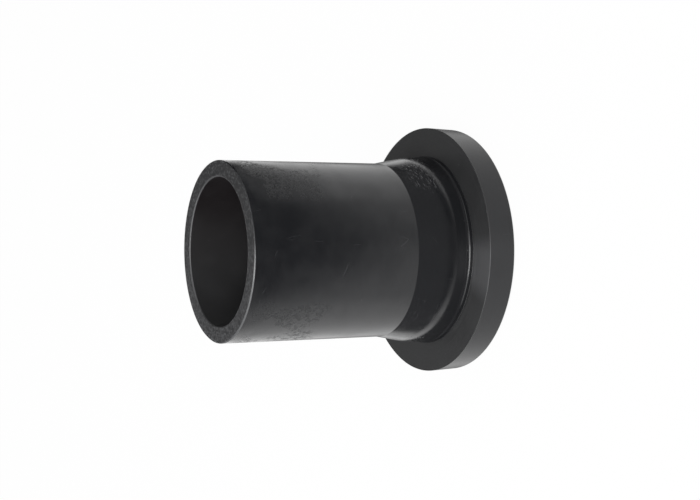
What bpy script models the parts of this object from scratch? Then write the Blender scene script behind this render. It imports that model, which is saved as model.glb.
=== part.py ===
"""Lap joint stub end for 110 mm polyethylene pressure pipe, moulded in one piece.

The plain spigot is butt welded to the pipe. A loose steel backing ring slides over it,
centres on the low shoulder round the neck and pulls on the back of the thick collar,
which presses the grooved jointing face on its gasket.

Metres, +Z up. The origin is the centre of the jointing face, on which the part stands,
and the bore's axis runs up +Z to the end of the spigot. The whole form is one section
turned round that axis, so the sizes and the section below are the design.
"""
import math

import bmesh
import bpy
from mathutils import Vector

# Spigot, the plain end that is welded to the pipe
SPIGOT_DIAMETER = 0.110
WALL_THICKNESS = 0.010
SPIGOT_LENGTH = 0.108
SPIGOT_EDGE_CHAMFER = 0.0008

# Neck, where the wall grows thicker towards the collar
FLARE_LENGTH = 0.021
FLARE_BLEND_RADIUS = 0.060
NECK_THICKENING = 0.0042
NECK_LENGTH = 0.0123

# Shoulder, the low step that centres the backing ring
SHOULDER_WIDTH = 0.0008
SHOULDER_HEIGHT = 0.0022
SHOULDER_COVE_RADIUS = 0.005
SHOULDER_FOOT_FILLET = 0.0003

# Collar, which the backing ring clamps
SEAT_WIDTH = 0.0185
COLLAR_THICKNESS = 0.0185
RIM_DRAFT = math.radians(2.0)
SEAT_EDGE_RADIUS = 0.0004
FACE_EDGE_RADIUS = 0.0015

# Jointing face, with V grooves that bite on the gasket
BORE_MOUTH_RADIUS = 0.0025
INNER_LAND = 0.0045
GROOVE_COUNT = 4
GROOVE_PITCH = 0.0045
GROOVE_WIDTH = 0.0014
GROOVE_DEPTH = 0.0007

# Fineness of the round forms
TURN_FACETS = 96
BLEND_STEPS = 6
FILLET_STEPS = 5
EDGE_STEPS = 3

# Moulded black polyethylene
BODY_COLOUR = (0.017, 0.017, 0.018, 1.0)
BODY_ROUGHNESS = 0.42

MERGE_DISTANCE = 1.0e-7
SHARP_EDGE_ANGLE = math.radians(28.0)

# Directions on the section, in which r runs right and z runs up
UP = math.pi / 2
LEFT = math.pi
DOWN = -math.pi / 2


def arc(centre, radius, start, end, steps):
    """Points (r, z) along an arc from one direction to another, both ends included."""
    points = []
    for step in range(steps + 1):
        angle = start + (end - start) * step / steps
        points.append((centre[0] + radius * math.cos(angle),
                       centre[1] + radius * math.sin(angle)))
    return points


def jointing_face(bore_radius):
    """The face at z = 0, from the rounded mouth of the bore out past the last groove."""
    mouth = min(BORE_MOUTH_RADIUS, COLLAR_THICKNESS / 2)
    points = arc((bore_radius + mouth, mouth), mouth, LEFT, LEFT + UP, FILLET_STEPS)
    first_groove = bore_radius + mouth + INNER_LAND
    for index in range(GROOVE_COUNT):
        middle = first_groove + index * GROOVE_PITCH
        points.append((middle - GROOVE_WIDTH / 2, 0.0))
        points.append((middle, GROOVE_DEPTH))
        points.append((middle + GROOVE_WIDTH / 2, 0.0))
    return points


def collar_rim(collar_radius):
    """The rim, from the round at the jointing face up to the round at the ring's seat.

    The rim leans in by its draft towards the jointing face. Each round is tangent to the
    leaning line and to its own flat face.
    """
    face_round = min(FACE_EDGE_RADIUS, COLLAR_THICKNESS / 3)
    seat_round = min(SEAT_EDGE_RADIUS, SEAT_WIDTH / 3)
    slope = math.tan(RIM_DRAFT)
    slant = 1.0 / math.cos(RIM_DRAFT)

    face_corner = collar_radius - COLLAR_THICKNESS * slope
    face_centre = (face_corner + face_round * (slope - slant), face_round)
    seat_centre = (collar_radius - seat_round * (slope + slant), COLLAR_THICKNESS - seat_round)

    points = arc(face_centre, face_round, DOWN, -RIM_DRAFT, EDGE_STEPS)
    points += arc(seat_centre, seat_round, -RIM_DRAFT, UP, EDGE_STEPS)
    return points


def shoulder(neck_radius, shoulder_radius):
    """The step, from its foot on the seat up its side and in by a cove to the neck.

    The cove is tangent to the neck and meets the side of the step at a sharp edge. It is
    held short enough to keep half of the neck.
    """
    top = COLLAR_THICKNESS + SHOULDER_HEIGHT
    foot_fillet = min(SHOULDER_FOOT_FILLET, SHOULDER_HEIGHT / 2, SEAT_WIDTH / 2)
    foot_centre = (shoulder_radius + foot_fillet, COLLAR_THICKNESS + foot_fillet)

    wanted_radius = max(SHOULDER_COVE_RADIUS, SHOULDER_WIDTH)
    wanted_rise = math.sqrt(SHOULDER_WIDTH * (2 * wanted_radius - SHOULDER_WIDTH))
    rise = min(wanted_rise, NECK_LENGTH / 2)
    cove_radius = (rise ** 2 + SHOULDER_WIDTH ** 2) / (2 * SHOULDER_WIDTH)
    cove_centre = (neck_radius + cove_radius, top + rise)
    sweep = math.asin(rise / cove_radius)

    points = arc(foot_centre, foot_fillet, DOWN, -LEFT, EDGE_STEPS)
    points += arc(cove_centre, cove_radius, sweep - LEFT, -LEFT, FILLET_STEPS)
    return points


def flare(neck_radius, spigot_radius, neck_top):
    """The flare, up from the neck to the crisp line where the plain spigot begins.

    It is a slender cone. A long round, tangent to both, blends it into the side of the
    neck, and is held short enough to keep half of the cone and half of the neck.
    """
    lean = math.atan((neck_radius - spigot_radius) / FLARE_LENGTH)
    run = min(FLARE_BLEND_RADIUS * math.tan(lean / 2), FLARE_LENGTH / 2, NECK_LENGTH / 2)
    blend_radius = run / math.tan(lean / 2)
    blend_centre = (neck_radius - blend_radius, neck_top - run)

    points = arc(blend_centre, blend_radius, 0.0, lean, BLEND_STEPS)
    points.append((spigot_radius, neck_top + FLARE_LENGTH))
    return points


def spigot_end(bore_radius, spigot_radius, top):
    """The flat end that is welded, with a small chamfer at each of its two edges."""
    chamfer = min(SPIGOT_EDGE_CHAMFER, WALL_THICKNESS / 3, SPIGOT_LENGTH / 3)
    return [(spigot_radius, top - chamfer),
            (spigot_radius - chamfer, top),
            (bore_radius + chamfer, top),
            (bore_radius, top - chamfer)]


def section():
    """The closed section (r, z), once round from the bore's mouth to the bore's wall."""
    spigot_radius = SPIGOT_DIAMETER / 2
    bore_radius = spigot_radius - WALL_THICKNESS
    neck_radius = spigot_radius + NECK_THICKENING
    shoulder_radius = neck_radius + SHOULDER_WIDTH
    collar_radius = shoulder_radius + SEAT_WIDTH

    neck_top = COLLAR_THICKNESS + SHOULDER_HEIGHT + NECK_LENGTH
    top = neck_top + FLARE_LENGTH + SPIGOT_LENGTH

    return (jointing_face(bore_radius)
            + collar_rim(collar_radius)
            + shoulder(neck_radius, shoulder_radius)
            + flare(neck_radius, spigot_radius, neck_top)
            + spigot_end(bore_radius, spigot_radius, top))


def turn(points, name):
    """A closed mesh: the section (r, z) turned once round the Z axis."""
    shape = bmesh.new()
    corners = [shape.verts.new((radius, 0.0, height)) for radius, height in points]
    edges = [shape.edges.new((corners[index - 1], corners[index]))
             for index in range(len(corners))]
    bmesh.ops.remove_doubles(shape, verts=corners, dist=MERGE_DISTANCE)
    bmesh.ops.spin(shape, geom=shape.verts[:] + shape.edges[:], cent=Vector((0.0, 0.0, 0.0)),
                   axis=Vector((0.0, 0.0, 1.0)), angle=2.0 * math.pi, steps=TURN_FACETS,
                   use_merge=True)
    bmesh.ops.remove_doubles(shape, verts=shape.verts[:], dist=MERGE_DISTANCE)
    bmesh.ops.recalc_face_normals(shape, faces=shape.faces[:])
    mesh = bpy.data.meshes.new(name)
    shape.to_mesh(mesh)
    shape.free()
    mesh.shade_smooth()
    mesh.set_sharp_from_angle(angle=SHARP_EDGE_ANGLE)
    return mesh


def black_polyethylene():
    """Moulded black polyethylene: a dull black with a soft sheen."""
    material = bpy.data.materials.new("black_polyethylene")
    material.use_nodes = True
    shader = material.node_tree.nodes["Principled BSDF"]
    shader.inputs["Base Color"].default_value = BODY_COLOUR
    shader.inputs["Roughness"].default_value = BODY_ROUGHNESS
    shader.inputs["Metallic"].default_value = 0.0
    return material


def main():
    for old in list(bpy.data.objects):
        bpy.data.objects.remove(old, do_unlink=True)
    mesh = turn(section(), "stub_end")
    mesh.materials.append(black_polyethylene())
    stub_end = bpy.data.objects.new("stub_end", mesh)
    bpy.context.scene.collection.objects.link(stub_end)


main()
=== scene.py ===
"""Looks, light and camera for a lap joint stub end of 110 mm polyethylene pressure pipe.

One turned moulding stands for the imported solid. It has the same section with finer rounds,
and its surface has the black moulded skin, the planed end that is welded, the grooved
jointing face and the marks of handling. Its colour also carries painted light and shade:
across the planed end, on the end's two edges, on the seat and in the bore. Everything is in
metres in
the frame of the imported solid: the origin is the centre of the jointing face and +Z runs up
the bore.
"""
from __future__ import annotations

import logging
import math
from dataclasses import dataclass
from enum import Enum
from typing import Any, Dict, List, Optional, Tuple, Union

import bmesh
import bpy
from mathutils import Matrix, Vector


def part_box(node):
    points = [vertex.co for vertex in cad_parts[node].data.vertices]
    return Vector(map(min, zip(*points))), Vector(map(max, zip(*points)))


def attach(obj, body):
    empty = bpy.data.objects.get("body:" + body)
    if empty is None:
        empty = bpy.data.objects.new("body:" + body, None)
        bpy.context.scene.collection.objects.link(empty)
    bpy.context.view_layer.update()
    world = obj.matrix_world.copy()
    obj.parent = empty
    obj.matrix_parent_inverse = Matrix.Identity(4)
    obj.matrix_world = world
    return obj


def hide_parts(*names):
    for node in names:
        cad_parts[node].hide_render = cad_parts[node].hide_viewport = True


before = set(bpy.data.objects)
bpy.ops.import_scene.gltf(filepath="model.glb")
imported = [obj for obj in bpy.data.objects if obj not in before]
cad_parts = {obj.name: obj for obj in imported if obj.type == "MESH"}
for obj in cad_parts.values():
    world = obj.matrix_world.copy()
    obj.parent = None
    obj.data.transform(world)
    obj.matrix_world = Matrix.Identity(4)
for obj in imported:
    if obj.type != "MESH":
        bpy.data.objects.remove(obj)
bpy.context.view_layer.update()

LOG = logging.getLogger("stub_end")

NODE = "stub_end"
BODY = "root"
SLOT = "black_polyethylene"

Colour = Tuple[float, float, float]
Point = Tuple[float, float, float]
Corner = Tuple[float, float, float]
Span = Tuple[float, float]
Inputs = Dict[Union[str, int], Any]


# Node maths


class Value:
    """One output of a node, on which Python's operators add Math nodes."""

    def __init__(self, graph: "Graph", socket: bpy.types.NodeSocket) -> None:
        """Keep the socket and the graph that it belongs to.

        Args:
            graph: The graph in which new nodes are made.
            socket: The output socket that this value stands for.
        """
        self.graph = graph
        self.socket = socket

    def maths(self, operation: str, *operands: "Operand") -> "Value":
        """Add one Math node.

        Args:
            operation: The name of the Math node's operation.
            operands: The values or numbers it works on, in order.

        Returns:
            The node's result.
        """
        inputs: Inputs = dict(enumerate(operands))
        return self.graph.add("ShaderNodeMath", {"operation": operation}, inputs)

    def __add__(self, other: "Operand") -> "Value":
        """Return self + other."""
        return self.maths("ADD", self, other)

    def __radd__(self, other: "Operand") -> "Value":
        """Return other + self."""
        return self.maths("ADD", other, self)

    def __sub__(self, other: "Operand") -> "Value":
        """Return self - other."""
        return self.maths("SUBTRACT", self, other)

    def __rsub__(self, other: "Operand") -> "Value":
        """Return other - self."""
        return self.maths("SUBTRACT", other, self)

    def __mul__(self, other: "Operand") -> "Value":
        """Return self * other."""
        return self.maths("MULTIPLY", self, other)

    def __rmul__(self, other: "Operand") -> "Value":
        """Return other * self."""
        return self.maths("MULTIPLY", other, self)

    def __truediv__(self, other: "Operand") -> "Value":
        """Return self / other."""
        return self.maths("DIVIDE", self, other)

    def __rtruediv__(self, other: "Operand") -> "Value":
        """Return other / self."""
        return self.maths("DIVIDE", other, self)

    def __pow__(self, other: "Operand") -> "Value":
        """Return self ** other."""
        return self.maths("POWER", self, other)

    def __abs__(self) -> "Value":
        """Return the value without its sign."""
        return self.maths("ABSOLUTE", self)

    def most(self, other: "Operand") -> "Value":
        """Return the larger of two values."""
        return self.maths("MAXIMUM", self, other)

    def least(self, other: "Operand") -> "Value":
        """Return the smaller of two values."""
        return self.maths("MINIMUM", self, other)

    def step(self, start: float, end: float) -> "Value":
        """Rise softly from 0 at start to 1 at end, or fall where start is the larger.

        Args:
            start: The value at which the result is still 0.
            end: The value from which the result is 1.

        Returns:
            The soft step, from 0 to 1.
        """
        settings = {"interpolation_type": "SMOOTHSTEP", "clamp": True}
        if start < end:
            return self.graph.add("ShaderNodeMapRange", settings,
                                  {"Value": self, "From Min": start, "From Max": end})
        inputs: Inputs = {"Value": self, "From Min": end, "From Max": start,
                          "To Min": 1.0, "To Max": 0.0}
        return self.graph.add("ShaderNodeMapRange", settings, inputs)

    def band(self, low: float, high: float, soft: float) -> "Value":
        """Return 1 between low and high and 0 outside, with soft edges."""
        return self.step(low - soft, low + soft) * self.step(high + soft, high - soft)


Operand = Union[Value, float, int]


class Graph:
    """A node tree with one method that adds any node."""

    def __init__(self, tree: bpy.types.NodeTree) -> None:
        """Keep the tree.

        Args:
            tree: The node tree that the nodes are added to.
        """
        self.tree = tree

    def add(self, kind: str, settings: Optional[Dict[str, Any]] = None,
            inputs: Optional[Inputs] = None, output: Union[str, int] = 0) -> Value:
        """Add a node, set it up and link it.

        Args:
            kind: The node's type.
            settings: The node's own properties, set before its sockets.
            inputs: A number, colour, object or value for each input, by name or index.
            output: The output that is returned, by name or index.

        Returns:
            The chosen output.
        """
        node = self.tree.nodes.new(kind)
        for name, setting in (settings or {}).items():
            setattr(node, name, setting)
        for key, given in (inputs or {}).items():
            socket = node.inputs[key]
            if isinstance(given, Value):
                self.tree.links.new(given.socket, socket)
            else:
                socket.default_value = given
        return Value(self, node.outputs[output])

    def add_output(self, kind: str, surface: Value) -> None:
        """Link a shader to a new output node of the given type."""
        node = self.tree.nodes.new(kind)
        self.tree.links.new(surface.socket, node.inputs["Surface"])

    def vector(self, x: Operand, y: Operand, z: Operand) -> Value:
        """Return a vector of three values."""
        return self.add("ShaderNodeCombineXYZ", None, {0: x, 1: y, 2: z})

    def parts(self, vector: Value) -> Tuple[Value, Value, Value]:
        """Return the three values of a vector."""
        node = self.tree.nodes.new("ShaderNodeSeparateXYZ")
        self.tree.links.new(vector.socket, node.inputs[0])
        x, y, z = (Value(self, output) for output in node.outputs)
        return x, y, z

    def object_place(self) -> Value:
        """Return the place on the object, in its own coordinates."""
        return self.add("ShaderNodeTexCoord", None, None, "Object")

    def noise(self, place: Value, scale: float, detail: float = 2.0,
              roughness: float = 0.5) -> Value:
        """Return a cloudy noise between 0 and 1.

        Args:
            place: The vector at which the noise is read.
            scale: The number of clouds in one unit of the vector.
            detail: The number of finer layers.
            roughness: The weight of each finer layer.

        Returns:
            The noise.
        """
        inputs: Inputs = {"Vector": place, "Scale": scale, "Detail": detail,
                          "Roughness": roughness}
        return self.add("ShaderNodeTexNoise", {"noise_dimensions": "3D"}, inputs, "Fac")

    def cells(self, place: Value, scale: float, feature: str, spread: float = 1.0) -> Value:
        """Return the distance in a pattern of cells.

        Args:
            place: The vector at which the cells are read.
            scale: The number of cells in one unit of the vector.
            feature: What the distance is measured to, such as F1 or DISTANCE_TO_EDGE.
            spread: How far the cells' middles stray from a square grid.

        Returns:
            The distance.
        """
        settings = {"voronoi_dimensions": "3D", "feature": feature}
        inputs: Inputs = {"Vector": place, "Scale": scale, "Randomness": spread}
        return self.add("ShaderNodeTexVoronoi", settings, inputs, "Distance")

    def blend(self, share: Operand, first: Union[Value, Colour],
              second: Union[Value, Colour]) -> Value:
        """Mix two colours.

        Args:
            share: The share of the second colour, from 0 to 1.
            first: The first colour.
            second: The second colour.

        Returns:
            The mixed colour.
        """
        inputs: Inputs = {0: share}
        for index, colour in ((6, first), (7, second)):
            inputs[index] = colour if isinstance(colour, Value) else (*colour, 1.0)
        settings = {"data_type": "RGBA", "blend_type": "MIX", "clamp_factor": True}
        return self.add("ShaderNodeMix", settings, inputs, 2)


# The turned moulding


@dataclass(frozen=True)
class StubEndSection:
    """Sizes of the section that is turned round the bore's axis."""

    spigot_radius: float = 0.055
    wall: float = 0.010
    end_chamfer: float = 0.0005
    end_round: float = 0.00012
    neck_radius: float = 0.0592
    flare_length: float = 0.021
    flare_blend: float = 0.060
    flare_line: float = 0.002
    neck_top: float = 0.033
    shoulder_radius: float = 0.0600
    shoulder_top: float = 0.0207
    shoulder_edge: float = 0.00012
    cove_radius: float = 0.005
    cove_steps: int = 10
    foot_fillet: float = 0.0002
    collar_radius: float = 0.0785
    collar_thickness: float = 0.0185
    rim_draft: float = math.radians(2.0)
    seat_edge: float = 0.0003
    face_edge: float = 0.0015
    bore_mouth: float = 0.0025
    first_groove: float = 0.052
    groove_count: int = 4
    groove_pitch: float = 0.0045
    groove_width: float = 0.0014
    groove_depth: float = 0.0007
    groove_round: float = 0.00012

    def jointing_face(self) -> List[Corner]:
        """Return the corners of the face at z = 0, from the bore out to the rim."""
        bore = self.spigot_radius - self.wall
        corners = [(bore, 0.0, self.bore_mouth)]
        for index in range(self.groove_count):
            middle = self.first_groove + index * self.groove_pitch
            half = self.groove_width / 2
            corners += [(middle - half, 0.0, self.groove_round),
                        (middle, self.groove_depth, self.groove_round),
                        (middle + half, 0.0, self.groove_round)]
        return corners

    def collar(self) -> List[Corner]:
        """Return the corners of the rim and of the seat up to the shoulder's edge."""
        lean = self.collar_thickness * math.tan(self.rim_draft)
        return [(self.collar_radius - lean, 0.0, self.face_edge),
                (self.collar_radius, self.collar_thickness, self.seat_edge),
                (self.shoulder_radius, self.collar_thickness, self.foot_fillet),
                (self.shoulder_radius, self.shoulder_top, self.shoulder_edge)]

    def cove(self) -> List[Corner]:
        """Return the points of the cove, from the shoulder's edge in to the neck."""
        width = self.shoulder_radius - self.neck_radius
        rise = math.sqrt(width * (2.0 * self.cove_radius - width))
        sweep = math.asin(rise / self.cove_radius)
        points = []
        for step in range(1, self.cove_steps + 1):
            angle = sweep * (1.0 - step / self.cove_steps)
            points.append((self.neck_radius + self.cove_radius * (1.0 - math.cos(angle)),
                           self.shoulder_top + rise - self.cove_radius * math.sin(angle),
                           0.0))
        return points

    def flare(self) -> List[Corner]:
        """Return the two ends of the flare's cone, from the neck to the crisp line."""
        return [(self.neck_radius, self.neck_top, self.flare_blend),
                (self.spigot_radius, self.neck_top + self.flare_length, self.flare_line)]

    def spigot_end(self, top: float) -> List[Corner]:
        """Return the corners of the end that is welded, with its two small chamfers.

        Args:
            top: The height of the end above the jointing face.

        Returns:
            The corners, from the outside to the bore.
        """
        bore = self.spigot_radius - self.wall
        return [(self.spigot_radius, top - self.end_chamfer, self.end_round),
                (self.spigot_radius - self.end_chamfer, top, self.end_round),
                (bore + self.end_chamfer, top, self.end_round),
                (bore, top - self.end_chamfer, self.end_round)]

    def corners(self, top: float) -> List[Corner]:
        """Return every corner as radius, height and the size of its round."""
        return (self.jointing_face() + self.collar() + self.cove() + self.flare()
                + self.spigot_end(top))


@dataclass(frozen=True)
class TurningSteps:
    """How finely the section is turned."""

    facets: int = 288
    round_steps: int = 7
    hub: float = 0.001
    merge: float = 1.0e-7
    sharp_angle: float = math.radians(35.0)


class Turning:
    """Geometry nodes that round a section's corners and turn it about the Z axis."""

    ROUND = "round"

    def __init__(self, steps: TurningSteps) -> None:
        """Build the tree.

        Args:
            steps: The fineness, which gives the inputs their defaults.
        """
        self.steps = steps
        self.tree = bpy.data.node_groups.new("turn_section", "GeometryNodeTree")
        self.identifiers: Dict[str, str] = {}
        self.build()

    def declare(self, name: str, kind: str, direction: str = "INPUT") -> None:
        """Add a named socket to the tree and remember its identifier."""
        socket = self.tree.interface.new_socket(name=name, in_out=direction,
                                                socket_type=kind)
        if direction == "INPUT":
            self.identifiers[name] = socket.identifier

    def build(self) -> None:
        """Add the nodes: wire to curve, rounds, sweep round a circle, seam, material."""
        self.declare("Section", "NodeSocketGeometry")
        self.declare("Facets", "NodeSocketInt")
        self.declare("Round Steps", "NodeSocketInt")
        self.declare("Hub Radius", "NodeSocketFloat")
        self.declare("Merge Distance", "NodeSocketFloat")
        self.declare("Skin", "NodeSocketMaterial")
        self.declare("Turned", "NodeSocketGeometry", "OUTPUT")

        graph = Graph(self.tree)
        given = self.tree.nodes.new("NodeGroupInput")
        section, facets, rounds, hub, merge, skin = (
            Value(graph, given.outputs[index]) for index in range(6))

        line = graph.add("GeometryNodeMeshToCurve", None, {"Mesh": section})
        size = graph.add("GeometryNodeInputNamedAttribute", {"data_type": "FLOAT"},
                         {"Name": self.ROUND})
        soft = graph.add("GeometryNodeFilletCurve", {"mode": "POLY"},
                         {"Curve": line, "Radius": size, "Limit Radius": True,
                          "Count": rounds})
        radius, _, height = graph.parts(graph.add("GeometryNodeInputPosition"))
        flat = graph.vector(radius - hub, -1.0 * height, 0.0)
        profile = graph.add("GeometryNodeSetPosition", None,
                            {"Geometry": soft, "Position": flat})
        circle = graph.add("GeometryNodeCurvePrimitiveCircle", {"mode": "RADIUS"},
                           {"Resolution": facets, "Radius": hub}, "Curve")
        swept = graph.add("GeometryNodeCurveToMesh", None,
                          {"Curve": circle, "Profile Curve": profile})
        closed = graph.add("GeometryNodeMergeByDistance", None,
                           {"Geometry": swept, "Distance": merge})
        real = graph.add("GeometryNodeRealizeInstances", None, {"Geometry": closed})
        dressed = graph.add("GeometryNodeSetMaterial", None,
                            {"Geometry": real, "Material": skin})
        result = self.tree.nodes.new("NodeGroupOutput")
        self.tree.links.new(dressed.socket, result.inputs[0])

    def turn(self, corners: List[Corner], name: str,
             skin: bpy.types.Material) -> bpy.types.Object:
        """Turn a closed section into a plain mesh object.

        Args:
            corners: Radius, height and round of each corner, in order.
            name: The name of the new object.
            skin: The material of the whole surface.

        Returns:
            The turned object, without a modifier.
        """
        wire = bpy.data.meshes.new(name + "_section")
        count = len(corners)
        wire.from_pydata([(radius, 0.0, height) for radius, height, _ in corners],
                         [(index, (index + 1) % count) for index in range(count)], [])
        sizes = wire.attributes.new(self.ROUND, "FLOAT", "POINT")
        for index, corner in enumerate(corners):
            sizes.data[index].value = corner[2]
        holder = bpy.data.objects.new(name + "_section", wire)
        bpy.context.scene.collection.objects.link(holder)

        modifier = holder.modifiers.new("turn", "NODES")
        modifier.node_group = self.tree
        chosen = {"Facets": self.steps.facets, "Round Steps": self.steps.round_steps,
                  "Hub Radius": self.steps.hub, "Merge Distance": self.steps.merge,
                  "Skin": skin}
        for socket, value in chosen.items():
            modifier[self.identifiers[socket]] = value

        graph = bpy.context.evaluated_depsgraph_get()
        mesh = bpy.data.meshes.new_from_object(holder.evaluated_get(graph))
        holder.modifiers.remove(modifier)
        bpy.data.objects.remove(holder, do_unlink=True)
        bpy.data.meshes.remove(wire)

        self.face_outwards(mesh)
        piece = bpy.data.objects.new(name, mesh)
        bpy.context.scene.collection.objects.link(piece)
        self.true_flats(piece)
        return piece

    def true_flats(self, piece: bpy.types.Object) -> None:
        """Keep flat and straight faces evenly shaded up to their small rounds.

        Args:
            piece: The turned object, whose mesh is replaced by one with such normals.
        """
        modifier = piece.modifiers.new("true_flats", "WEIGHTED_NORMAL")
        modifier.mode = "FACE_AREA"
        modifier.weight = 100
        modifier.keep_sharp = True
        graph = bpy.context.evaluated_depsgraph_get()
        rough = piece.data
        shaded = bpy.data.meshes.new_from_object(piece.evaluated_get(graph))
        piece.modifiers.remove(modifier)
        piece.data = shaded
        bpy.data.meshes.remove(rough)
        shaded.name = piece.name

    def face_outwards(self, mesh: bpy.types.Mesh) -> None:
        """Merge doubles, point every face outwards and mark the sharp edges.

        Args:
            mesh: The turned mesh, which is changed in place.
        """
        shape = bmesh.new()
        shape.from_mesh(mesh)
        bmesh.ops.remove_doubles(shape, verts=shape.verts[:], dist=self.steps.merge)
        bmesh.ops.recalc_face_normals(shape, faces=shape.faces[:])
        if shape.calc_volume(signed=True) < 0.0:
            bmesh.ops.reverse_faces(shape, faces=shape.faces[:])
        shape.to_mesh(mesh)
        shape.free()
        mesh.shade_smooth()
        mesh.set_sharp_from_angle(angle=self.steps.sharp_angle)


# Finishes


@dataclass(frozen=True)
class WornSides:
    """A band of marks on the two sides of the fitting, at plus and minus X."""

    low: float
    high: float
    soft: float
    side: Span
    patches: float
    patch_step: Span
    mark_step: Span


@dataclass(frozen=True)
class MouldedSkin:
    """Black polyethylene as it comes out of the mould, with the marks of handling."""

    colour: Colour = (0.0102, 0.0106, 0.0122)
    dusty: Colour = (0.030, 0.031, 0.033)
    scraped: Colour = (0.072, 0.073, 0.077)
    speck: Colour = (0.16, 0.16, 0.165)
    roughness: float = 0.20
    refraction: float = 1.54
    unevenness: float = 0.10
    smudges: float = 55.0
    smudge_step: Span = (0.35, 0.75)
    ripple_size: float = 0.006
    ripple_depth: float = 0.000020
    grain_size: float = 0.00045
    grain_depth: float = 0.0000022
    scratch_cell: float = 0.018
    scratch_width: float = 0.010
    scratch_depth: float = 0.000006
    scratch_share: float = 0.5
    scratch_squeeze: Point = (1.0, 1.0, 0.35)
    scratch_breaks: float = 90.0
    scratch_step: Span = (0.56, 0.66)
    speck_cell: float = 0.0055
    speck_radius: float = 0.045
    speck_blur: float = 1.4
    speck_clouds: float = 130.0
    speck_step: Span = (0.64, 0.70)
    scrapes: WornSides = WornSides(0.029, 0.049, 0.005, (0.030, 0.044), 60.0,
                                   (0.40, 0.56), (0.50, 0.68))
    scrape_across: float = 240.0
    scrape_up: float = 1300.0
    wear: WornSides = WornSides(0.108, 0.156, 0.008, (0.026, 0.036), 45.0,
                                (0.42, 0.52), (0.44, 0.60))
    wear_marks: float = 420.0
    wear_share: float = 0.22
    worn_roughness: float = 0.22
    worn_depth: float = 0.000025


@dataclass(frozen=True)
class PlanedEnd:
    """The end of the spigot as the trimmer's knife leaves it, with painted light and shade in
    its colour: paler at minus X, darker at plus X and in the low pits.
    """

    # Painted light at minus X, and painted shade at plus X and in the pits.
    painted_light: Colour = (0.033, 0.0335, 0.0355)
    painted_shade: Colour = (0.004, 0.0041, 0.0050)
    torn: Colour = (0.080, 0.081, 0.085)
    roughness: float = 0.47
    cut_pitch: float = 0.00050
    cut_depth: float = 0.000040
    cut_wander: float = 3.0
    fleck_size: float = 0.00130
    fleck_depth: float = 0.000060
    fleck_squeeze: float = 0.8
    pit_step: Span = (0.51, 0.42)
    torn_step: Span = (0.54, 0.64)
    torn_share: float = 0.8


@dataclass(frozen=True)
class PaintedEdgeHighlights:
    """The two edges of the planed end, with painted highlights on parts of them."""

    # The colour of the painted highlights.
    colour: Colour = (0.095, 0.096, 0.100)
    width: float = 0.0009
    inner_width: float = 0.7
    lip_soft: float = 0.0003
    lip_side: Span = (0.004, -0.008)
    lip_front: Span = (0.0, -0.01)
    mouth_side: Span = (-0.036, -0.026)
    mouth_share: float = 0.6


@dataclass(frozen=True)
class TurnedFace:
    """The jointing face as it leaves the lathe."""

    colour: Colour = (0.020, 0.0203, 0.0212)
    roughness: float = 0.43
    turn_pitch: float = 0.00030
    turn_depth: float = 0.0000045
    turn_wander: float = 0.6


@dataclass(frozen=True)
class TurnedSeat:
    """The back of the collar, turned flat for the backing ring, with a painted highlight as a
    paler patch in front.
    """

    colour: Colour = (0.020, 0.0203, 0.0212)
    # A painted highlight: a paler patch on the front of the seat, between two directions
    # round the axis.
    painted_highlight: Colour = (0.050, 0.0505, 0.0530)
    highlight_from: float = -0.36
    highlight_to: float = 0.05
    highlight_soft: float = 0.10
    highlight_front: Span = (0.0, -0.2)
    roughness: float = 0.42
    turn_pitch: float = 0.00035
    turn_depth: float = 0.000130
    turn_wander: float = 0.6


@dataclass(frozen=True)
class BoreWall:
    """The wall of the bore, drawn off a polished core, with painted shade that darkens it
    towards plus X.
    """

    # The bore's colour at minus X; the darker colour is painted shade at plus X.
    colour: Colour = (0.034, 0.0343, 0.0355)
    painted_shade: Colour = (0.010, 0.0081, 0.0088)
    roughness: float = 0.42
    drag_pitch: float = 0.0022
    drag_length: float = 12.0
    drag_depth: float = 0.000004


@dataclass(frozen=True)
class RegionEdges:
    """Where one finish gives way to the next."""

    end_below_top: Span = (0.00025, 0.00010)
    face_height: Span = (0.00085, 0.00075)
    face_radius: Span = (0.0778, 0.0768)
    past_bore: Span = (0.0002, 0.0005)
    past_shoulder: Span = (0.0003, 0.0005)
    seat_reach: float = 0.0004
    seat_soft: float = 0.0002


class Region(Enum):
    """Parts of the surface that are finished apart."""

    END = "planed end"
    FACE = "jointing face"
    BORE = "bore wall"
    SEAT = "seat of the backing ring"


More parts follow.
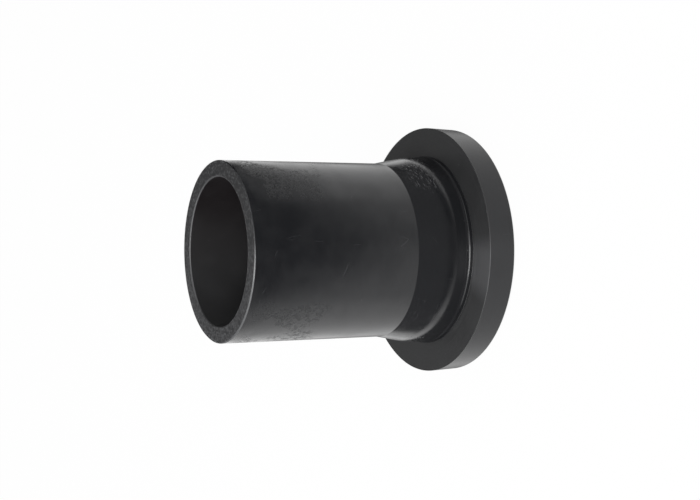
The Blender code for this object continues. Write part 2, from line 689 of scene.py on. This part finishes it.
class PolyethyleneSurface:
    """The material of the whole moulding, with each region's finish."""

    def __init__(self, section: StubEndSection, top: float) -> None:
        """Keep the sizes and the finishes, and start the material's nodes.

        Args:
            section: The sizes of the section, which place the regions.
            top: The height of the planed end.
        """
        self.top = top
        self.outer = section.spigot_radius
        self.inner = section.spigot_radius - section.wall
        self.section = section
        self.skin = MouldedSkin()
        self.end = PlanedEnd()
        self.edge_highlights = PaintedEdgeHighlights()
        self.face = TurnedFace()
        self.seat = TurnedSeat()
        self.bore = BoreWall()

        self.made = bpy.data.materials.new(SLOT)
        self.made.use_nodes = True
        self.graph = Graph(self.made.node_tree)
        self.place = self.graph.object_place()
        self.x, self.y, self.z = self.graph.parts(self.place)
        self.radius = (self.x * self.x + self.y * self.y) ** 0.5
        self.east = self.x / self.radius
        self.north = self.y / self.radius

    def regions(self) -> Dict[Region, Value]:
        """Return a mask for each region, 1 inside it and 0 outside."""
        edge = RegionEdges()
        seat = self.section.collar_thickness
        shoulder = self.section.shoulder_radius
        outside = self.radius.step(*(self.inner + past for past in edge.past_bore))
        return {
            Region.END: self.z.step(*(self.top - below for below in edge.end_below_top)),
            Region.FACE: self.z.step(*edge.face_height) * self.radius.step(*edge.face_radius),
            Region.BORE: 1.0 - outside,
            Region.SEAT: self.z.band(seat - edge.seat_reach, seat + edge.seat_reach,
                                     edge.seat_soft)
            * self.radius.step(*(shoulder + past for past in edge.past_shoulder)),
        }

    def material(self) -> bpy.types.Material:
        """Link the colour, the roughness and the relief to the shader.

        Returns:
            The finished material.
        """
        masks = self.regions()
        outside = 1.0 - masks[Region.BORE]
        scraped = self.scrapes() * outside
        worn = self.wear() * outside
        scratch = self.scratches()
        flecks = self.end_flecks()

        colour = self.colour(masks, flecks, scraped, worn, scratch)
        rough = self.roughness(masks, worn + scraped)
        relief = self.relief(masks, flecks, scratch, worn + scraped)
        bump = self.graph.add("ShaderNodeBump", None,
                              {"Strength": 1.0, "Distance": 1.0, "Height": relief})
        shader = self.made.node_tree.nodes["Principled BSDF"]
        for name, value in (("Base Color", colour), ("Roughness", rough),
                            ("Normal", bump)):
            self.graph.tree.links.new(value.socket, shader.inputs[name])
        shader.inputs["Metallic"].default_value = 0.0
        shader.inputs["IOR"].default_value = self.skin.refraction
        return self.made

    def colour(self, masks: Dict[Region, Value], flecks: Value, scraped: Value,
               worn: Value, scratch: Value) -> Value:
        """Return the colour of the whole surface.

        Args:
            masks: The mask of each region.
            flecks: The noise of the torn flecks on the planed end.
            scraped: The scraped streaks.
            worn: The mottled wear.
            scratch: The scratches.

        Returns:
            The colour.
        """
        skin = self.skin
        blend = self.graph.blend
        # The planed end's colour carries painted light and shade.
        colour = blend(masks[Region.END], skin.colour, self.end_colour(flecks))
        # The seat's colour carries a painted highlight and the bore's colour carries painted
        # shade.
        for region, wanted in ((Region.FACE, self.face.colour),
                               (Region.SEAT, self.seat_colour()),
                               (Region.BORE, self.bore_colour())):
            colour = blend(masks[region], colour, wanted)
        # Painted highlights on parts of the planed end's two edges.
        colour = blend(self.painted_edge_highlights(), colour, self.edge_highlights.colour)
        dusty = worn * skin.wear_share + scratch * skin.scratch_share
        colour = blend(dusty, colour, skin.dusty)
        colour = blend(scraped, colour, skin.scraped)
        return blend(self.specks(), colour, skin.speck)

    def end_colour(self, flecks: Value) -> Value:
        """Return the colour of the planed end: painted light at minus X falling to painted
        shade at plus X, painted shade in the low pits and pale torn flecks.
        """
        end = self.end
        # Painted light and shade across the end, paler at minus X and darker at plus X.
        colour = self.graph.blend(self.x.step(-self.outer, self.outer), end.painted_light, end.painted_shade)
        # Painted shade in the low pits of the planed end.
        colour = self.graph.blend(flecks.step(*end.pit_step), colour, end.painted_shade)
        torn = flecks.step(*end.torn_step) * end.torn_share
        return self.graph.blend(torn, colour, end.torn)

    def bore_colour(self) -> Value:
        """Return the colour of the bore wall, with painted shade that darkens it towards plus
        X.
        """
        # Painted shade, darker towards plus X.
        share = self.x.step(-self.inner, self.inner)
        return self.graph.blend(share, self.bore.colour, self.bore.painted_shade)

    def seat_colour(self) -> Value:
        """Return the colour of the seat, with a painted highlight as a paler patch in front.
        """
        seat = self.seat
        # Painted highlight on the front of the seat.
        along = self.east.band(seat.highlight_from, seat.highlight_to, seat.highlight_soft)
        painted_highlight = along * self.north.step(*seat.highlight_front)
        return self.graph.blend(painted_highlight, seat.colour, seat.painted_highlight)

    def roughness(self, masks: Dict[Region, Value], worn: Value) -> Value:
        """Return the roughness of the whole surface.

        Args:
            masks: The mask of each region.
            worn: The wear and the scraped streaks together.

        Returns:
            The roughness.
        """
        skin = self.skin
        smudge = self.graph.noise(self.place, skin.smudges, 3.0, 0.55)
        rough = skin.roughness + skin.unevenness * (smudge.step(*skin.smudge_step) - 0.5)
        rough = rough + worn * skin.worn_roughness
        for region, wanted in ((Region.END, self.end.roughness),
                               (Region.FACE, self.face.roughness),
                               (Region.SEAT, self.seat.roughness),
                               (Region.BORE, self.bore.roughness)):
            rough = rough + masks[region] * (wanted - skin.roughness)
        return rough

    def relief(self, masks: Dict[Region, Value], flecks: Value, scratch: Value,
               worn: Value) -> Value:
        """Return the height of the whole surface.

        Args:
            masks: The mask of each region.
            flecks: The noise of the torn flecks on the planed end.
            scratch: The scratches.
            worn: The wear and the scraped streaks together.

        Returns:
            The height in metres.
        """
        relief = self.skin_relief(scratch, worn) * (1.0 - masks[Region.END])
        for region, height in ((Region.END, self.end_relief(flecks)),
                               (Region.FACE, self.turned_relief(self.face)),
                               (Region.SEAT, self.turned_relief(self.seat)),
                               (Region.BORE, self.bore_relief())):
            relief = relief + height * masks[region]
        return relief

    def specks(self) -> Value:
        """Return sparse pale specks of dust."""
        skin = self.skin
        dots = self.graph.cells(self.place, 1.0 / skin.speck_cell, "F1")
        sparse = self.graph.noise(self.place, skin.speck_clouds, 1.0, 0.5)
        spot = dots.step(skin.speck_radius * skin.speck_blur, skin.speck_radius)
        return spot * sparse.step(*skin.speck_step)

    def scratches(self) -> Value:
        """Return a few hair-thin scratches, broken up so that none runs far."""
        skin = self.skin
        bent = self.graph.add("ShaderNodeVectorMath", {"operation": "MULTIPLY"},
                              {0: self.place, 1: skin.scratch_squeeze})
        edge = self.graph.cells(bent, 1.0 / skin.scratch_cell, "DISTANCE_TO_EDGE")
        broken = self.graph.noise(self.place, skin.scratch_breaks, 2.0, 0.5)
        return edge.step(skin.scratch_width, 0.0) * broken.step(*skin.scratch_step)

    def scrapes(self) -> Value:
        """Return the scraped streaks on both sides of the neck and the flare."""
        skin = self.skin
        drawn = self.graph.vector(self.x * skin.scrape_across, self.y * skin.scrape_across,
                                  self.z * skin.scrape_up)
        return self.on_sides(self.graph.noise(drawn, 1.0, 4.0, 0.70), skin.scrapes)

    def wear(self) -> Value:
        """Return the mottled wear on both sides of the spigot, towards its end."""
        marks = self.graph.noise(self.place, self.skin.wear_marks, 5.0, 0.75)
        return self.on_sides(marks, self.skin.wear)

    def on_sides(self, marks: Value, sides: WornSides) -> Value:
        """Keep marks to patches in a band on both sides of the fitting.

        Args:
            marks: The noise of the marks.
            sides: Where they lie.

        Returns:
            The marks, from 0 to 1.
        """
        patch = self.graph.noise(self.place, sides.patches, 2.0, 0.5)
        kept = marks.step(*sides.mark_step) * patch.step(*sides.patch_step)
        return (kept * self.z.band(sides.low, sides.high, sides.soft)
                * abs(self.x).step(*sides.side))

    def painted_edge_highlights(self) -> Value:
        """Return where highlights are painted on the planed end's outer and inner edge."""
        edge = self.edge_highlights
        within = edge.width * edge.inner_width
        outer = self.outer - edge.width
        near_end = self.z.step(self.top - edge.width, self.top - within)
        lip = (self.radius.step(outer, outer + edge.lip_soft) * self.x.step(*edge.lip_side)
               * self.y.step(*edge.lip_front))
        mouth = (self.radius.step(self.inner + edge.width, self.inner + within)
                 * self.x.step(*edge.mouth_side))
        return near_end * (lip + mouth * edge.mouth_share).least(1.0)

    def end_flecks(self) -> Value:
        """Return the noise of short torn flecks that lie along the knife's rings."""
        end = self.end
        around = end.fleck_squeeze * self.outer / end.fleck_size
        drawn = self.graph.vector(self.radius / end.fleck_size, self.east * around,
                                  self.north * around)
        return self.graph.noise(drawn, 1.0, 2.0, 0.6)

    def skin_relief(self, scratch: Value, worn: Value) -> Value:
        """Return the height of the moulded skin: slow ripples, fine grain, scratches."""
        skin = self.skin
        ripple = self.graph.noise(self.place, 1.0 / skin.ripple_size, 1.0, 0.4)
        grain = self.graph.noise(self.place, 1.0 / skin.grain_size, 2.0, 0.5)
        return (ripple * skin.ripple_depth + grain * skin.grain_depth
                - scratch * skin.scratch_depth + worn * grain * skin.worn_depth)

    def end_relief(self, flecks: Value) -> Value:
        """Return the height of the planed end: rings of the knife and torn flecks."""
        end = self.end
        ring = self.graph.vector(self.radius / end.cut_pitch, self.east * end.cut_wander,
                                 self.north * end.cut_wander)
        rings = self.graph.noise(ring, 1.0, 1.0, 0.5)
        grain = self.graph.noise(self.place, 1.0 / self.skin.grain_size, 2.0, 0.6)
        return (rings * end.cut_depth + flecks * end.fleck_depth
                + grain * self.skin.grain_depth)

    def turned_relief(self, finish: Union[TurnedFace, TurnedSeat]) -> Value:
        """Return the height of a turned face: the fine rings of the tool."""
        wander = finish.turn_wander
        ring = self.graph.vector(self.radius / finish.turn_pitch, self.east * wander,
                                 self.north * wander)
        return self.graph.noise(ring, 1.0, 1.0, 0.5) * finish.turn_depth

    def bore_relief(self) -> Value:
        """Return the height of the bore wall: faint lines drawn along the core."""
        bore = self.bore
        across = self.inner / bore.drag_pitch
        lines = self.graph.vector(self.east * across, self.north * across,
                                  self.z * bore.drag_length)
        return self.graph.noise(lines, 1.0, 2.0, 0.5) * bore.drag_depth


class StubEnd:
    """The whole fitting, moulded in one piece."""

    def __init__(self, section: StubEndSection, steps: TurningSteps) -> None:
        """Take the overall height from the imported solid.

        Args:
            section: The sizes of the section.
            steps: How finely it is turned.
        """
        self.section = section
        self.steps = steps
        low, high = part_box(NODE)
        self.top = high.z

    def build(self) -> bpy.types.Object:
        """Turn the moulding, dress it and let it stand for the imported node.

        Returns:
            The finished piece.
        """
        skin = PolyethyleneSurface(self.section, self.top).material()
        turning = Turning(self.steps)
        piece = turning.turn(self.section.corners(self.top), "stub_end_moulding", skin)
        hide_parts(NODE)
        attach(piece, BODY)
        return piece


# Studio


@dataclass(frozen=True)
class Softbox:
    """A flat soft light that is aimed at the fitting."""

    name: str
    azimuth: float
    elevation: float
    width: float
    height: float
    brightness: float
    distance: float = 3.0

    def place(self, aim: Vector) -> bpy.types.Object:
        """Make the light.

        Args:
            aim: The point that the light faces.

        Returns:
            The light's object.
        """
        turn = math.radians(self.azimuth)
        rise = math.radians(self.elevation)
        away = Vector((math.sin(turn) * math.cos(rise), -math.cos(turn) * math.cos(rise),
                       math.sin(rise)))
        lamp = bpy.data.lights.new(self.name, "AREA")
        lamp.shape = "RECTANGLE"
        lamp.size = self.width
        lamp.size_y = self.height
        lamp.energy = self.brightness * math.pi * self.width * self.height
        thing = bpy.data.objects.new(self.name, lamp)
        thing.location = aim + away * self.distance
        thing.rotation_mode = "QUATERNION"
        thing.rotation_quaternion = (-away).to_track_quat("-Z", "Y")
        bpy.context.scene.collection.objects.link(thing)
        return thing


@dataclass(frozen=True)
class Viewpoint:
    """The camera, where the photograph was taken from."""

    location: Point = (0.0002, -0.7577, 0.4759)
    aim: Point = (0.0002, 0.0, 0.0718)
    picture_up: Point = (0.99994, -0.0053, -0.0099)
    lens: float = 70.05

    def place(self) -> bpy.types.Object:
        """Make the camera, turned so that the bore's axis lies across the picture.

        Returns:
            The camera, which the scene now uses.
        """
        location = Vector(self.location)
        back = (location - Vector(self.aim)).normalized()
        right = Vector(self.picture_up).cross(back).normalized()
        up = back.cross(right)
        turned = Matrix((right, up, back)).transposed().to_4x4()
        data = bpy.data.cameras.new("camera")
        data.lens = self.lens
        data.sensor_width = 36.0
        data.clip_start = 0.01
        data.clip_end = 50.0
        camera = bpy.data.objects.new("camera", data)
        camera.matrix_world = Matrix.Translation(location) @ turned
        bpy.context.scene.collection.objects.link(camera)
        bpy.context.scene.camera = camera
        return camera


@dataclass(frozen=True)
class Studio:
    """A white floor with soft lights above it, and what the gloss shows.

    A floor at the fitting's foot would fill the gloss of the flare with white, so gloss
    doesn't show it. It shows a white sheet 1 m lower, which is brighter at both sides and
    dim behind, with a dark tent round and above it.
    """

    floor_reach: float = 8.0
    floor_white: float = 0.80
    glow_seen: float = 0.965
    sheet_depth: float = 1.0
    sheet_across: float = 2.55
    sheet_front: float = 1.99
    sheet_back: float = 3.00
    sheet_middle: float = -0.20
    sheet_corners: int = 72
    glow_middle: float = 0.95
    glow_near_right: float = 0.78
    glow_left: float = 1.28
    glow_right: float = 1.22
    glow_near: Span = (0.0, 0.5)
    glow_side: Span = (1.45, 1.85)
    glow_spread: float = 0.35
    glow_front: Span = (-1.1, -0.45)
    dim_back: Span = (0.9, 1.4)
    dim_far: Span = (2.6, 2.1)
    dim_middle: float = 0.10
    dim_reach: Span = (1.15, 0.55)
    dim_share: float = 0.74
    cloth_glow: float = 0.21
    cloth_low: Span = (1.5, 1.0)
    cloth_far: Span = (2.9, 3.6)
    cloth_gap: float = 0.01
    tent_radius: float = 6.0
    tent_margin: float = 1.1
    tent_panel: float = 15.0
    tent_low: Span = (-12.0, 18.0)
    tent_low_span: Span = (0.0, 360.0)
    tent_high: Span = (18.0, 72.0)
    tent_high_span: Span = (90.0, 240.0)
    ambient: float = 0.30
    aim_height: float = 0.08
    softboxes: Tuple[Softbox, ...] = (
        Softbox("front_softbox", -25.0, 24.0, 5.0, 1.2, 1.1),
        Softbox("key_softbox", -14.0, 30.0, 1.7, 1.0, 6.5),
        Softbox("left_softbox", -92.0, 58.0, 4.4, 1.5, 2.1),
        Softbox("right_softbox", 95.0, 33.0, 2.2, 1.6, 0.6),
        Softbox("top_softbox", 0.0, 84.0, 2.2, 2.2, 1.3),
        Softbox("edge_softbox", -22.0, 63.0, 1.6, 0.8, 4.5),
        Softbox("back_softbox", 180.0, 25.0, 3.0, 1.8, 0.28),
    )

    def build(self) -> None:
        """Make the floor, the white sheet, the dark tent, the lights and the world."""
        self.floor()
        self.white_sheet()
        self.tent()
        aim = Vector((0.0, 0.0, self.aim_height))
        for softbox in self.softboxes:
            softbox.place(aim)
            LOG.info("light %s", softbox.name)
        self.world()

    def blank_material(self, name: str) -> Tuple[bpy.types.Material, Graph]:
        """Return a new material without nodes, and its graph."""
        material = bpy.data.materials.new(name)
        material.use_nodes = True
        graph = Graph(material.node_tree)
        graph.tree.nodes.clear()
        return material, graph

    def sheet(self, name: str, points: List[Point], faces: List[Tuple[int, ...]],
              material: bpy.types.Material) -> bpy.types.Object:
        """Make one flat sheet of the studio.

        Args:
            name: The name of the object.
            points: Its points.
            faces: The indices of each face's points.
            material: Its material.

        Returns:
            The sheet.
        """
        mesh = bpy.data.meshes.new(name)
        mesh.from_pydata(points, [], faces)
        mesh.materials.append(material)
        sheet = bpy.data.objects.new(name, mesh)
        bpy.context.scene.collection.objects.link(sheet)
        return sheet

    def floor(self) -> bpy.types.Object:
        """Make the white floor, which keeps the fitting's shadow and is hidden from gloss.

        Returns:
            The floor.
        """
        material, graph = self.blank_material("white_floor")
        white = (self.floor_white, self.floor_white, self.floor_white, 1.0)
        lit = graph.add("ShaderNodeBsdfDiffuse", None, {"Color": white})
        glow = graph.add("ShaderNodeEmission", None, {"Strength": 1.0})
        seen = (self.ray(graph, "Is Camera Ray") + self.ray(graph, "Is Transmission Ray"))
        share = seen.least(1.0) * self.glow_seen
        mixed = graph.add("ShaderNodeMixShader", None, {0: share, 1: lit, 2: glow})
        graph.add_output("ShaderNodeOutputMaterial", mixed)
        far = self.floor_reach
        corners = [(-far, -far, 0.0), (far, -far, 0.0), (far, far, 0.0), (-far, far, 0.0)]
        floor = self.sheet("floor", corners, [(0, 1, 2, 3)], material)
        floor.visible_glossy = False
        return floor

    def white_sheet(self) -> bpy.types.Object:
        """Make the white sheet below the floor, which gloss shows in the floor's place.

        Returns:
            The sheet.
        """
        material, graph = self.blank_material("white_sheet")
        x, y, _ = graph.parts(graph.object_place())
        start, end = self.glow_side
        wider = y.most(0.0) * self.glow_spread
        left = (wider - x).step(start, end) * (self.glow_left - self.glow_middle)
        right = (wider + x).step(start, end) * (self.glow_right - self.glow_near_right)
        near = x.step(*self.glow_near) * (self.glow_near_right - self.glow_middle)
        level = self.glow_middle + near + (left + right) * y.step(*self.glow_front)
        dim = (y.step(*self.dim_back) * y.step(*self.dim_far)
               * abs(x - self.dim_middle).step(*self.dim_reach))
        level = level * (1.0 - dim * self.dim_share)
        strength = level * self.ray(graph, "Is Glossy Ray")
        glow = graph.add("ShaderNodeEmission", None, {"Strength": strength})
        graph.add_output("ShaderNodeOutputMaterial", glow)

        corners = []
        for index in range(self.sheet_corners):
            angle = 2.0 * math.pi * index / self.sheet_corners
            along = self.sheet_back if math.sin(angle) > 0.0 else self.sheet_front
            corners.append((self.sheet_middle + self.sheet_across * math.cos(angle),
                            along * math.sin(angle), -self.sheet_depth))
        whole = tuple(range(self.sheet_corners))
        sheet = self.sheet("white_sheet", corners, [whole], material)
        self.only_mirrored(sheet)
        return sheet

    def only_mirrored(self, thing: bpy.types.Object) -> None:
        """Let only gloss show a thing of the studio."""
        thing.visible_camera = False
        thing.visible_diffuse = False
        thing.visible_transmission = False
        thing.visible_shadow = False

    def tent(self) -> bpy.types.Object:
        """Make the dark cloth round the white sheet and above it, which only gloss shows.

        Returns:
            The cloth: a square under the sheet, a low wall all the way round and a high
            one at one side and behind.
        """
        material, graph = self.blank_material("black_cloth")
        x, y, z = graph.parts(graph.object_place())
        far = ((x * x + y * y) ** 0.5).step(*self.cloth_far)
        strength = (z.step(*self.cloth_low) * far * self.cloth_glow
                    * self.ray(graph, "Is Glossy Ray"))
        dim = graph.add("ShaderNodeEmission", None, {"Strength": strength})
        graph.add_output("ShaderNodeOutputMaterial", dim)

        reach = self.tent_radius * self.tent_margin
        low = -self.sheet_depth - self.cloth_gap
        points = [(-reach, -reach, low), (reach, -reach, low), (reach, reach, low),
                  (-reach, reach, low)]
        faces = [(0, 1, 2, 3)]
        self.add_wall(points, faces, self.tent_low_span, self.tent_low)
        self.add_wall(points, faces, self.tent_high_span, self.tent_high)

        cloth = self.sheet("black_cloth", points, faces, material)
        self.only_mirrored(cloth)
        return cloth

    def add_wall(self, points: List[Point], faces: List[Tuple[int, ...]],
                 turn: Span, rise: Span) -> None:
        """Add one stretch of the tent's wall to its points and faces.

        Args:
            points: The tent's points, which grow.
            faces: The tent's faces, which grow.
            turn: Where the wall starts and ends round the fitting, in degrees, from the
                front towards +X.
            rise: Where it starts and ends above the floor, in degrees.
        """
        panels = round((turn[1] - turn[0]) / self.tent_panel)
        first = len(points)
        for panel in range(panels + 1):
            azimuth = math.radians(turn[0] + (turn[1] - turn[0]) * panel / panels)
            for level in rise:
                height = math.radians(level)
                reach = self.tent_radius * math.cos(height)
                points.append((reach * math.sin(azimuth), -reach * math.cos(azimuth),
                               self.tent_radius * math.sin(height)))
        for panel in range(panels):
            corner = first + panel * 2
            faces.append((corner, corner + 2, corner + 3, corner + 1))

    def world(self) -> None:
        """Make the surroundings: white where they are seen, a dim fill otherwise."""
        world = bpy.data.worlds.new("studio")
        world.use_nodes = True
        bpy.context.scene.world = world
        graph = Graph(world.node_tree)
        graph.tree.nodes.clear()
        seen = (self.ray(graph, "Is Camera Ray") + self.ray(graph, "Is Glossy Ray")
                + self.ray(graph, "Is Transmission Ray")).least(1.0)
        strength = self.ambient + seen * (1.0 - self.ambient)
        sky = graph.add("ShaderNodeBackground", None, {"Strength": strength})
        graph.add_output("ShaderNodeOutputWorld", sky)

    def ray(self, graph: Graph, kind: str) -> Value:
        """Return 1 for rays of one kind, as the Light Path node names them."""
        return graph.add("ShaderNodeLightPath", None, None, kind)


def main() -> None:
    """Build the fitting and its studio and report each piece."""
    logging.basicConfig(level=logging.INFO, format="%(name)s: %(message)s")
    bpy.context.scene.view_settings.view_transform = "Standard"
    piece = StubEnd(StubEndSection(), TurningSteps()).build()
    LOG.info("piece %s has %d faces", piece.name, len(piece.data.polygons))
    Studio().build()
    Viewpoint().place()


if __name__ == "__main__":
    main()
